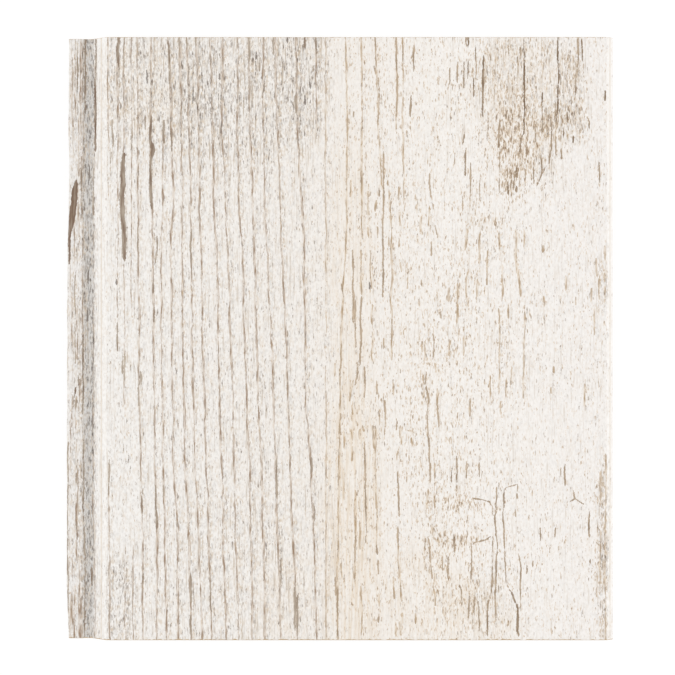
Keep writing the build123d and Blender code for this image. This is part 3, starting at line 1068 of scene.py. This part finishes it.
@dataclass(frozen=True)
class BareFibreboard:
    """Medium-density fibreboard as a tool left it.

    Pressed wood dust and short fibres: an even, dry tan with pale and dark fibre ends, and the fine marks
    of the saw, cutter or belt that went over it.
    """

    name: str
    tool_cells_mm: tuple[float, float, float]        # cells of the tool's marks along X, Y and Z
    tool_share: float = 0.3
    body: str = "#C3A987"
    pale_fibre: str = "#D9C5A6"
    dark_fibre: str = "#9C8060"
    fibre_mm: float = 0.35               # real fibres are finer, and are drawn this coarse to show
    cloud_mm: float = 6.25
    detail: float = 3.0
    fibre_roughness: float = 0.6
    dark_ramp: tuple[float, float, float] = (0.52, 0.72, 0.55)   # noise at none, at full, and full share
    pale_ramp: tuple[float, float, float] = (0.48, 0.30, 0.60)
    cloud_ramp: tuple[float, float, float] = (0.40, 0.65, 0.30)
    tool_ramp: Pixel = (0.45, 0.70)
    relief_strength: float = 0.6
    relief_depth: float = 0.12 * MM
    roughness: float = 0.85
    ior: float = 1.5

    def build(self) -> bpy.types.Material:
        """Makes the board's material.

        Returns:
            The material.
        """
        material = bpy.data.materials.new(self.name)
        material.use_nodes = True
        tree = material.node_tree
        tree.nodes.clear()
        place = add_node(tree, "ShaderNodeTexCoord", out="Object")
        place_mm = add_node(tree, "ShaderNodeVectorMath", {0: place, "Scale": 1 / MM}, operation="SCALE")
        fibre = add_node(tree, "ShaderNodeTexNoise",
                         {"Vector": place_mm, "Scale": 1 / self.fibre_mm, "Detail": self.detail,
                          "Roughness": self.fibre_roughness})
        cloud = add_node(tree, "ShaderNodeTexNoise",
                         {"Vector": place_mm, "Scale": 1 / self.cloud_mm, "Detail": self.detail})
        cells = add_node(tree, "ShaderNodeVectorMath",
                         {0: place_mm, 1: tuple(1 / size for size in self.tool_cells_mm)},
                         operation="MULTIPLY")
        tool = add_node(tree, "ShaderNodeTexNoise", {"Vector": cells, "Scale": 1.0})
        colour = to_linear(self.body)
        for noise, (none, full, share), fibre_colour in (
                (cloud, self.cloud_ramp, self.pale_fibre),
                (tool, (*self.tool_ramp, self.tool_share), self.dark_fibre),
                (fibre, self.pale_ramp, self.pale_fibre),
                (fibre, self.dark_ramp, self.dark_fibre)):
            shown = add_node(tree, "ShaderNodeMapRange",
                             {"Value": noise, "From Min": none, "From Max": full, "To Max": share})
            colour = add_node(tree, "ShaderNodeMix", {0: shown, 6: colour, 7: to_linear(fibre_colour)},
                              out=2, data_type="RGBA")
        rough = add_node(tree, "ShaderNodeMath", {0: tool, 1: fibre}, operation="ADD")
        relief = add_node(tree, "ShaderNodeBump", {"Strength": self.relief_strength,
                                                   "Distance": self.relief_depth, "Height": rough})
        shader = add_node(tree, "ShaderNodeBsdfPrincipled",
                          {"Base Color": colour, "Roughness": self.roughness, "IOR": self.ior,
                           "Normal": relief})
        add_node(tree, "ShaderNodeOutputMaterial", {"Surface": shader})
        return material


@dataclass(frozen=True)
class Section:
    """Outline of the plank's section, from the tongue's nose over the face and round the back."""

    outline: np.ndarray                  # x and z of its corners
    film_corners: int                    # how many of the first corners the print reaches over

    @classmethod
    def of_node(cls, node: bpy.types.Object) -> "Section":
        """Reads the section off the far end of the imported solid.

        Args:
            node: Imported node, swept along Y.

        Returns:
            The section.
        """
        mesh = node.data
        places = np.empty(len(mesh.vertices) * 3)
        mesh.vertices.foreach_get("co", places)
        places = places.reshape(-1, 3)
        mesh.calc_loop_triangles()
        corners = np.empty(len(mesh.loop_triangles) * 3, dtype=np.int32)
        mesh.loop_triangles.foreach_get("vertices", corners)
        corners = corners.reshape(-1, 3)
        tiny = 0.001 * MM
        end_cap = corners[(places[corners, 1] > places[:, 1].max() - tiny).all(axis=1)]
        names = [tuple(pair) for pair in np.round(places[:, [0, 2]] / tiny).astype(int)]
        edges = {(names[triangle[i]], names[triangle[i - 2]]) for triangle in end_cap for i in range(3)}
        onward = {a: b for a, b in edges if (b, a) not in edges}
        nose_x = min(x for x, _ in onward)
        lip_x = max(x for x, _ in onward)
        walk = [max(corner for corner in onward if corner[0] == nose_x)]
        while onward[walk[-1]] != walk[0]:
            walk.append(onward[walk[-1]])
        lip_foot = min(corner for corner in onward if corner[0] == lip_x)
        return cls(np.array(walk) * tiny, walk.index(lip_foot) + 1)

    def refined(self, film_pitch: float, board_pitch: float) -> tuple[np.ndarray, np.ndarray]:
        """Divides the outline more finely.

        Args:
            film_pitch: Longest step under the print.
            board_pitch: Longest step elsewhere.

        Returns:
            The finer outline, and for each of its steps whether the print covers it.
        """
        points, printed = [], []
        for index, start in enumerate(self.outline):
            end = self.outline[(index + 1) % len(self.outline)]
            under_print = index < self.film_corners - 1
            pitch = film_pitch if under_print else board_pitch
            count = max(1, int(np.ceil(np.hypot(*(end - start)) / pitch)))
            for part in range(count):
                points.append(start + (end - start) * part / count)
                printed.append(under_print)
        return np.array(points), np.array(printed)


@dataclass
class Plank:
    """The dressed plank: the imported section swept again, chipped, embossed and finished."""

    node: bpy.types.Object
    print_layout: WhitewashPrint
    film_pitch: float = 0.272 * MM
    board_pitch: float = 9.0 * MM
    row_pitch: float = 1.02 * MM
    close_bands_px: tuple[Pixel, ...] = ((481, 508), (533, 549), (592, 600))     # marks cross the grain here
    close_pitch: float = 0.40 * MM
    end_margin: float = 0.3 * MM         # from a sawn end to the row next to it
    back_height: float = 0.5 * MM        # a side lower than this belongs to the back
    smoothing: tuple[float, ...] = (0.25, 0.5, 0.25)     # weights of a place and its neighbours
    nose_reach: float = 1.6 * MM         # how far in from the nose its wear is felt
    nose_roughness_px: float = 0.32
    nose_wear_px: tuple[Pixel, ...] = (
        (37, 1.7), (90, 1.6), (134, 0.8), (150, 1.7), (215, 1.5), (240, 0.3), (300, -0.2), (460, -0.5),
        (585, -0.4), (610, 0.3), (641, 1.6))
    near_chip: tuple[float, float] = (0.26 * MM, 0.20 * MM)      # reach and depth of the near end's chips
    far_chip: tuple[float, float] = (0.10 * MM, 0.08 * MM)
    chip_power: float = 2.2              # the higher, the fewer large chips
    chip_swing: float = 1.6              # largest chip over the sizes above
    least_reach: float = 0.15            # smallest chip over them
    least_depth: float = 0.10
    split_depth: float = 0.12 * MM
    ring_depth: float = 0.05 * MM
    grain_depth: float = 0.02 * MM
    split_mm: Pixel = (-0.05, 0.25)      # depth inside a mark where its relief starts and is full
    ring_mm: Pixel = (-0.15, 0.20)
    grain_cells: tuple[float, float] = (0.8 * MM, 5.0 * MM)
    sharp_angle: float = 0.65
    seed: int = 7
    mesh: bpy.types.Mesh | None = None

    def build(self) -> bpy.types.Object:
        """Builds the swept, embossed and dressed plank.

        Returns:
            The finished object.
        """
        coats = {
            Coat.PRINT: WhitewashFilm().build(),
            Coat.SAWN: BareFibreboard("sawn_fibreboard", tool_cells_mm=(0.9, 1.0, 14.0)).build(),
            Coat.MILLED: BareFibreboard("milled_fibreboard", tool_cells_mm=(1.0, 40.0, 1.0),
                                        tool_share=0.2).build(),
            Coat.SANDED: BareFibreboard("sanded_fibreboard", tool_cells_mm=(0.5, 30.0, 1.0),
                                        tool_share=0.22).build(),
        }
        self.sweep()
        plank = bpy.data.objects.new("plank_dressed", self.mesh)
        bpy.context.scene.collection.objects.link(plank)
        self.emboss(plank, coats)
        return plank

    def sweep(self) -> None:
        """Sweeps the refined section along the plank, with worn nose and chipped ends."""
        outline, printed = Section.of_node(self.node).refined(self.film_pitch, self.board_pitch)
        near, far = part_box("plank")
        count = len(outline)
        stations = self.stations(near.y, far.y)
        rows = len(stations)
        grid = np.empty((rows, count, 3))
        grid[:, :, 0] = outline[:, 0]
        grid[:, :, 1] = stations[:, None]
        grid[:, :, 2] = outline[:, 1]
        chance = np.random.default_rng(self.seed)
        self.wear_nose(grid, near.x, chance)
        on_film = printed | np.roll(printed, 1)
        for rim, inner, size in ((0, 1, self.near_chip), (-1, -2, self.far_chip)):
            self.chip(grid, rim, inner, size, on_film, chance)

        step = np.arange(count)
        onward = np.roll(step, -1)
        row = np.arange(rows - 1)[:, None] * count
        quads = np.stack((row + step, row + onward, row + onward + count, row + step + count), axis=2)
        last = (rows - 1) * count
        faces = quads.reshape(-1, 4).tolist()
        faces += [list(range(count - 1, -1, -1)), list(range(last, last + count))]
        places = grid.reshape(-1, 3)
        self.mesh = bpy.data.meshes.new("plank_dressed")
        self.mesh.from_pydata(places.tolist(), [], faces)

        low = outline[:, 1] < self.back_height
        on_back = low & np.roll(low, -1)
        side = np.where(printed, Coat.PRINT.value, np.where(on_back, Coat.SANDED.value, Coat.MILLED.value))
        coat = np.tile(side, (rows - 1, 1))
        coat[0, printed] = Coat.SAWN.value
        coat[-1, printed] = Coat.SAWN.value
        coat = np.append(coat.reshape(-1), [Coat.SAWN.value, Coat.SAWN.value]).astype(np.int32)
        self.mesh.attributes.new("coat", "INT", "FACE").data.foreach_set("value", coat)
        hold = np.zeros((rows, count), dtype=np.float32)
        hold[2:-2, printed & np.roll(printed, 1)] = 1.0
        write(self.mesh, "hold", hold.reshape(-1))
        self.print_layout.lay(self.mesh, places, far.z)

    def stations(self, near_y: float, far_y: float) -> np.ndarray:
        """Chooses the rows of the sweep, closer together where marks cross the grain.

        Args:
            near_y: Place of the near end.
            far_y: Place of the far end.

        Returns:
            Their places along the plank, from the near end to the far one.
        """
        inner = [near_y + self.end_margin]
        view = self.print_layout.view
        while inner[-1] < far_y - self.end_margin - self.row_pitch:
            down = view.frame_px / 2 - (inner[-1] - view.aim[1]) * view.px_per_mm / MM
            close = any(top < down < foot for top, foot in self.close_bands_px)
            inner.append(inner[-1] + (self.close_pitch if close else self.row_pitch))
        return np.array([near_y, *inner, far_y - self.end_margin, far_y])

    def wear_nose(self, grid: np.ndarray, nose_x: float, chance: np.random.Generator) -> None:
        """Moves the tongue's nose in and out along the plank, as its worn edge does.

        Args:
            grid: Swept points, changed in place.
            nose_x: The nose's place across the plank.
            chance: Source of the fine roughness.
        """
        view = self.print_layout.view
        down = view.pixels(grid[:, 0], grid[:, :, 2].max())[:, 1]
        rough = chance.normal(0.0, self.nose_roughness_px, len(down) + len(self.smoothing) - 1)
        wear_px = graded(down, self.nose_wear_px) + np.convolve(rough, self.smoothing, "valid")
        wear = wear_px / view.px_per_mm * MM
        share = np.clip(1 - (grid[:, :, 0] - nose_x) / self.nose_reach, 0.0, 1.0)
        grid[:, :, 0] += wear[:, None] * share

    def chip(self, grid: np.ndarray, rim: int, inner: int, size: tuple[float, float], on_film: np.ndarray,
             chance: np.random.Generator) -> None:
        """Breaks the arris of one sawn end into fine chips.

        Args:
            grid: Swept points, changed in place.
            rim: Row on the end itself.
            inner: Row next to it.
            size: Reach along the plank and depth of the chips.
            on_film: Which points lie under the print.
            chance: Source of the chips' sizes.
        """
        reach, depth = size
        bite = chance.random(grid.shape[1] + len(self.smoothing) - 1) ** self.chip_power
        bite = self.chip_swing * np.convolve(bite, self.smoothing, "valid")[on_film]
        inward = np.sign(grid[inner, 0, 1] - grid[rim, 0, 1])
        grid[inner, on_film, 1] = grid[rim, on_film, 1] + inward * reach * (self.least_reach + bite)
        grid[rim, on_film, 2] -= depth * (self.least_depth + bite)

    def emboss(self, plank: bpy.types.Object, coats: dict[Coat, bpy.types.Material]) -> None:
        """Presses the print's grain into the face with Geometry Nodes and sets the finishes.

        Args:
            plank: Object with the swept mesh, which is replaced by the embossed one.
            coats: Material of each finish.
        """
        tree = bpy.data.node_groups.new("grain_emboss", "GeometryNodeTree")
        interface = tree.interface
        interface.new_socket("Geometry", in_out="INPUT", socket_type="NodeSocketGeometry")
        interface.new_socket("Geometry", in_out="OUTPUT", socket_type="NodeSocketGeometry")
        sizes = {"Split depth": self.split_depth, "Ring depth": self.ring_depth,
                 "Grain depth": self.grain_depth}
        sockets = {name: interface.new_socket(name, in_out="INPUT", socket_type="NodeSocketFloat")
                   for name in sizes}
        entry = tree.nodes.new("NodeGroupInput")

        pressed = None
        for mark, size, (low, high) in ((Mark.CRACK, "Split depth", self.split_mm),
                                        (Mark.RING, "Ring depth", self.ring_mm)):
            depth = add_node(tree, "GeometryNodeInputNamedAttribute", {"Name": mark.value},
                             data_type="FLOAT")
            share = add_node(tree, "ShaderNodeMapRange", {"Value": depth, "From Min": low, "From Max": high},
                             interpolation_type="SMOOTHSTEP")
            pressed = add_node(tree, "ShaderNodeMath",
                               {0: share, 1: entry.outputs[size], 2: pressed if pressed else 0.0},
                               operation="MULTIPLY_ADD")
        place = add_node(tree, "GeometryNodeInputPosition")
        across, lengthwise = self.grain_cells
        cells = add_node(tree, "ShaderNodeVectorMath",
                         {0: place, 1: (1 / across, 1 / lengthwise, 0.0),
                          2: (self.seed, self.seed, self.seed)}, operation="MULTIPLY_ADD")
        noise = add_node(tree, "ShaderNodeTexNoise", {"Vector": cells, "Scale": 1.0, "Detail": 1.0})
        pressed = add_node(tree, "ShaderNodeMath", {0: noise, 1: entry.outputs["Grain depth"], 2: pressed},
                           operation="MULTIPLY_ADD")
        hold = add_node(tree, "GeometryNodeInputNamedAttribute", {"Name": "hold"}, data_type="FLOAT")
        pressed = add_node(tree, "ShaderNodeMath", {0: pressed, 1: hold}, operation="MULTIPLY")
        inward = add_node(tree, "ShaderNodeMath", {0: pressed, 1: -1.0}, operation="MULTIPLY")
        normal = add_node(tree, "GeometryNodeInputNormal")
        offset = add_node(tree, "ShaderNodeVectorMath", {0: normal, "Scale": inward}, operation="SCALE")
        solid = add_node(tree, "GeometryNodeSetPosition",
                         {"Geometry": entry.outputs["Geometry"], "Offset": offset})
        solid = add_node(tree, "GeometryNodeRealizeInstances", {"Geometry": solid})
        coat = add_node(tree, "GeometryNodeInputNamedAttribute", {"Name": "coat"}, data_type="INT")
        for kind, material in coats.items():
            chosen = add_node(tree, "FunctionNodeCompare", {2: coat, 3: kind.value}, data_type="INT",
                              operation="EQUAL")
            solid = add_node(tree, "GeometryNodeSetMaterial",
                             {"Geometry": solid, "Selection": chosen, "Material": material})
        add_node(tree, "NodeGroupOutput", {"Geometry": solid})

        modifier = plank.modifiers.new("grain_emboss", "NODES")
        modifier.node_group = tree
        for name, size in sizes.items():
            modifier[sockets[name].identifier] = size
        evaluated = plank.evaluated_get(bpy.context.evaluated_depsgraph_get())
        embossed = bpy.data.meshes.new_from_object(evaluated)
        plank.modifiers.remove(modifier)
        plank.data = embossed
        bpy.data.meshes.remove(self.mesh)
        for name in ("hold", "coat"):
            embossed.attributes.remove(embossed.attributes[name])
        embossed.name = "plank_dressed"
        embossed.shade_smooth()
        embossed.set_sharp_from_angle(angle=self.sharp_angle)
        self.mesh = embossed


@dataclass(frozen=True)
class Studio:
    """Plain pale studio: a white floor, an even surround and a soft light box on either side."""

    floor_side: float = 20.0
    floor_drop: float = 0.2 * MM
    paper: str = "#E8E6E3"               # floor as it lights the plank
    seen_paper: str = "#606060"          # floor as it is seen, which takes the shadow over a glow
    seen_glow: float = 0.92
    surround: float = 0.776              # level of the even light, which is seen as white
    box_size: tuple[float, float] = (0.75, 1.2)
    box_distance: float = 0.95
    box_rise: float = 0.48               # height of a box's middle over its distance
    box_powers: tuple[float, float] = (3.0, 3.2)     # left and right

    def build(self, face_z: float) -> None:
        """Sets up the floor, the surround and the light boxes.

        Args:
            face_z: Height of the finished face, which the boxes point at.
        """
        self.lay_floor()
        self.light_surround()
        aim = Vector((0.0, 0.0, face_z))
        for side, power in zip((-1.0, 1.0), self.box_powers):
            data = bpy.data.lights.new("light_box", "AREA")
            data.shape = "RECTANGLE"
            data.size, data.size_y = self.box_size
            data.energy = power
            box = bpy.data.objects.new("light_box", data)
            box.location = aim + Vector((side, 0.0, self.box_rise)).normalized() * self.box_distance
            box.rotation_euler = (aim - box.location).to_track_quat("-Z", "Y").to_euler()
            bpy.context.scene.collection.objects.link(box)

    def lay_floor(self) -> None:
        """Lays a floor that looks white but still takes a soft shadow."""
        half = self.floor_side / 2
        corners = [(x * half, y * half, -self.floor_drop) for x, y in ((-1, -1), (1, -1), (1, 1), (-1, 1))]
        mesh = bpy.data.meshes.new("floor")
        mesh.from_pydata(corners, [], [(0, 1, 2, 3)])
        floor = bpy.data.objects.new("floor", mesh)
        bpy.context.scene.collection.objects.link(floor)
        material = bpy.data.materials.new("white_paper_floor")
        material.use_nodes = True
        tree = material.node_tree
        tree.nodes.clear()
        seen = self.seen_directly(tree)
        paper = add_node(tree, "ShaderNodeBsdfDiffuse", {"Color": to_linear(self.paper)})
        faint = add_node(tree, "ShaderNodeBsdfDiffuse", {"Color": to_linear(self.seen_paper)})
        glow = add_node(tree, "ShaderNodeEmission", {"Strength": self.seen_glow})
        shown = add_node(tree, "ShaderNodeAddShader", {0: faint, 1: glow})
        mixed = add_node(tree, "ShaderNodeMixShader", {0: seen, 1: paper, 2: shown})
        add_node(tree, "ShaderNodeOutputMaterial", {"Surface": mixed})
        mesh.materials.append(material)
        floor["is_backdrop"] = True

    def light_surround(self) -> None:
        """Lights the scene evenly from all round, and shows that surround as white."""
        world = bpy.data.worlds.new("surround")
        bpy.context.scene.world = world
        world.use_nodes = True
        tree = world.node_tree
        tree.nodes.clear()
        seen = self.seen_directly(tree)
        level = add_node(tree, "ShaderNodeMapRange", {"Value": seen, "To Min": self.surround})
        glow = add_node(tree, "ShaderNodeBackground", {"Color": to_linear("#FFFFFF"), "Strength": level})
        add_node(tree, "ShaderNodeOutputWorld", {"Surface": glow})

    @staticmethod
    def seen_directly(tree: Tree) -> Socket:
        """Tells whether a ray comes from the camera, a reflection or through glass."""
        seen = None
        for kind in ("Is Camera Ray", "Is Glossy Ray", "Is Transmission Ray"):
            ray = add_node(tree, "ShaderNodeLightPath", out=kind)
            if seen is not None:
                ray = add_node(tree, "ShaderNodeMath", {0: seen, 1: ray}, operation="MAXIMUM")
            seen = ray
        return seen


def main() -> None:
    """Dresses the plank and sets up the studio."""
    logging.basicConfig(level=logging.INFO, format="%(name)s: %(message)s")
    cad_box = [list(corner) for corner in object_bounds()]
    view = PhotoView()
    plank = Plank(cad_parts["plank"], WhitewashPrint(view)).build()
    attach(plank, "root")
    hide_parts("plank")
    triangles = sum(len(face.vertices) - 2 for face in plank.data.polygons)
    LOG.info("%s: %d triangles in %d finishes", plank.name, triangles, len(plank.data.materials))

    face_z = cad_box[1][2]
    Studio().build(face_z)
    view.place_camera(face_z)
    bpy.context.scene.view_settings.view_transform = "Standard"
    LOG.info("camera: %.1f mm lens", view.lens_mm)


if __name__ == "__main__":
    main()
